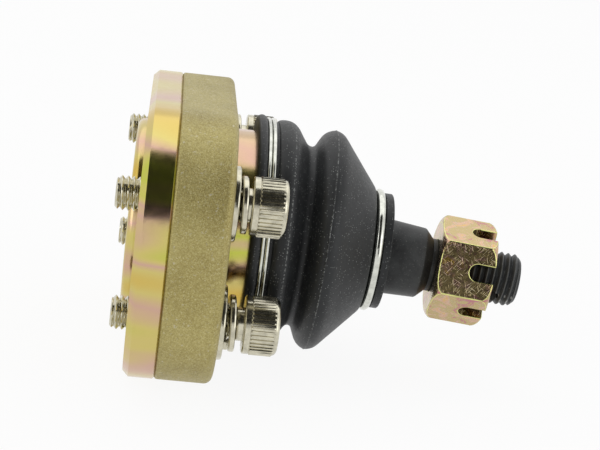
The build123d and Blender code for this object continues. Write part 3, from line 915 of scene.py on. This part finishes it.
def screwTree():
    # ridges round the head of one blank, then a copy of it on each point, turned by its own step
    tree, given = newTree("knurledScrews", {
        "Blank": "Object", "Ridge": "Object", "Ridges": "Int", "Head Radius": "Float", "Turn Step": "Float",
        "Finish": "Material"})
    blank = addNode(tree, "GeometryNodeObjectInfo", [("Object", given["Blank"])])
    ridge = addNode(tree, "GeometryNodeObjectInfo", [("Object", given["Ridge"]), ("As Instance", True)])
    around = addNode(tree, "GeometryNodeMeshCircle", [
        ("Vertices", given["Ridges"]), ("Radius", given["Head Radius"])])
    place = addNode(tree, "GeometryNodeInputPosition").outputs["Position"]
    facing = addNode(tree, "FunctionNodeAlignRotationToVector", [("Vector", place)], axis="X")
    knurl = addNode(tree, "GeometryNodeInstanceOnPoints", [
        ("Points", around.outputs["Mesh"]), ("Instance", ridge.outputs["Geometry"]),
        ("Rotation", facing.outputs["Rotation"])])
    head = addNode(tree, "GeometryNodeJoinGeometry", [
        ("Geometry", blank.outputs["Geometry"]), ("Geometry", knurl.outputs["Instances"])])
    lying = addNode(tree, "GeometryNodeTransform", [
        ("Geometry", head.outputs["Geometry"]), ("Rotation", (0, pi / 2, 0))])
    one = addNode(tree, "GeometryNodeGeometryToInstance", [("Geometry", lying.outputs["Geometry"])])
    index = addNode(tree, "GeometryNodeInputIndex").outputs["Index"]
    turn = reckon(tree, "MULTIPLY", index, given["Turn Step"])
    spun = addNode(tree, "ShaderNodeCombineXYZ", [("X", turn)])
    four = addNode(tree, "GeometryNodeInstanceOnPoints", [
        ("Points", given["Geometry"]), ("Instance", one.outputs["Instances"]),
        ("Rotation", spun.outputs["Vector"])])
    return endTree(tree, four.outputs["Instances"], given["Finish"])


def makeScrews():
    blank, ridge = makeScrewBlank(), makeRidge()
    corners = zip(screw["undersides"], ((-1, 1), (-1, -1), (1, 1), (1, -1)))
    holder = addMesh("screwPlaces", [
        Vector((x, y * screw["span"] / 2, z * screw["rise"] / 2)) * mm for x, (y, z) in corners], [])
    made = grownBy(holder, screwTree(), "capScrews", {
        "Blank": blank, "Ridge": ridge, "Ridges": screw["ridges"], "Head Radius": screw["headRadius"] * mm,
        "Turn Step": screw["turnStep"], "Finish": nickelPlate})
    for part in (blank, ridge):
        bpy.data.objects.remove(part, do_unlink=True)
    return made


capScrews = makeScrews()
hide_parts("screw_1", "screw_2", "screw_3", "screw_4")
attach(capScrews, "housing")
print("screws made")

# the lowest point of the part in millimetres, and sizes in metres
stage = {
    "lowest": -24.0, "gap": 0.00002, "floorSize": 3.0, "floorTone": 0.93, "floorRoughness": 0.9, "glowShare": 0.91,
    "white": 1.0, "world": 0.62,
}


def seenWhite(tree, *rays):
    # 1 where the camera sees the backdrop, directly or by one of these other rays, and 0 where it lights the part
    path = addNode(tree, "ShaderNodeLightPath").outputs
    seen = path["Is Camera Ray"]
    for ray in rays:
        seen = reckon(tree, "MAXIMUM", seen, path[ray])
    return seen


def makeFloor():
    size, height = stage["floorSize"], stage["lowest"] * mm - stage["gap"]
    corners = [(x * size, y * size, height) for x, y in ((-1, -1), (1, -1), (1, 1), (-1, 1))]
    floor = addMesh("floor", corners, [(0, 1, 2, 3)])
    mat, tree, shader = newFinish("paleFloor", 0.0, stage["floorRoughness"])
    shader.inputs["Base Color"].default_value = (*[stage["floorTone"]] * 3, 1)
    glow = addNode(tree, "ShaderNodeEmission", [("Color", (1, 1, 1, 1)), ("Strength", stage["white"])])
    share = reckon(tree, "MULTIPLY", seenWhite(tree, "Is Glossy Ray"), stage["glowShare"])
    blend = addNode(tree, "ShaderNodeMixShader", [("Fac", share), (1, shader.outputs[0]), (2, glow.outputs[0])])
    feed(tree, tree.nodes["Material Output"].inputs["Surface"], blend.outputs[0])
    setFinish(floor, mat)


def makeWorld():
    world = bpy.data.worlds.new("studio")
    bpy.context.scene.world = world
    world.use_nodes = True
    tree = world.node_tree
    background = tree.nodes["Background"]
    seen = seenWhite(tree, "Is Glossy Ray", "Is Transmission Ray")
    background.inputs["Color"].default_value = (1, 1, 1, 1)
    strength = reckon(tree, "MULTIPLY_ADD", seen, stage["white"] - stage["world"], stage["world"])
    feed(tree, background.inputs["Strength"], strength)


makeFloor()
makeWorld()

# metres from the origin, degrees above the horizon, and a step of its lower edge on the right
flag = {
    "reach": 0.55, "low": 19, "high": 86, "facets": 6, "middle": 0.02, "halfWidth": 0.26,
    "step": 7, "stepFrom": 0.066, "tone": (0.03, 0.03, 0.027, 1),
}


def flagRow(rise, sides):
    angle = radians(rise)
    return [Vector((x, -flag["reach"] * cos(angle), flag["reach"] * sin(angle))) for x in sides]


def makeFlag():
    # a bent black studio card above and in front, seen only in reflections: bright metal needs something dark to show
    left, right = flag["middle"] - flag["halfWidth"], flag["middle"] + flag["halfWidth"]
    points = []
    for k in range(flag["facets"] + 1):
        points += flagRow(flag["low"] + (flag["high"] - flag["low"]) * k / flag["facets"], (left, right))
    for rise in (flag["step"], flag["low"]):
        points += flagRow(rise, (flag["stepFrom"], right))
    rows = [2 * k for k in range(flag["facets"])] + [len(points) - 4]
    card = addMesh("blackFlag", points, [(n, n + 1, n + 3, n + 2) for n in rows])
    mat, tree, shader = newFinish("flagBlack", 0.0, 1.0)
    shader.inputs["Base Color"].default_value = flag["tone"]
    setFinish(card, mat)
    card.visible_camera = False
    card.visible_diffuse = False


makeFlag()

lamps = {
    "back": {"at": (0.03, 0.28, 0.62), "size": (1.2, 0.7), "power": 1.15},
    "left": {"at": (-0.7, -0.45, 0.30), "size": (0.6, 0.7), "power": 1.3},
    "right": {"at": (0.75, -0.50, 0.25), "size": (0.6, 0.7), "power": 1.2},
}
lampAim = Vector((0.03, 0, 0))
for name, lamp in lamps.items():
    light = bpy.data.lights.new(name + "Light", "AREA")
    light.shape = "RECTANGLE"
    light.size, light.size_y = lamp["size"]
    light.energy = lamp["power"]
    stand = placed(name + "Light", light)
    stand.location = lamp["at"]
    stand.rotation_euler = (lampAim - Vector(lamp["at"])).to_track_quat("-Z", "Y").to_euler()

view = {
    "lens": 98.4, "sensor": 36.0, "near": 0.01, "at": (0.00236, -0.29296, 0.08222),
    "right": (0.99069, -0.05902, 0.12272), "up": (-0.10213, 0.27398, 0.9563), "back": (-0.09006, -0.95992, 0.2654),
}
cameraData = bpy.data.cameras.new("camera")
cameraData.lens = view["lens"]
cameraData.sensor_width = view["sensor"]
cameraData.sensor_fit = "HORIZONTAL"
cameraData.clip_start = view["near"]
camera = placed("camera", cameraData)
turned = Matrix((view["right"], view["up"], view["back"])).transposed().to_4x4()
camera.matrix_world = Matrix.Translation(view["at"]) @ turned
bpy.context.scene.camera = camera
bpy.context.scene.view_settings.view_transform = "Standard"
print("stage, light and camera set")
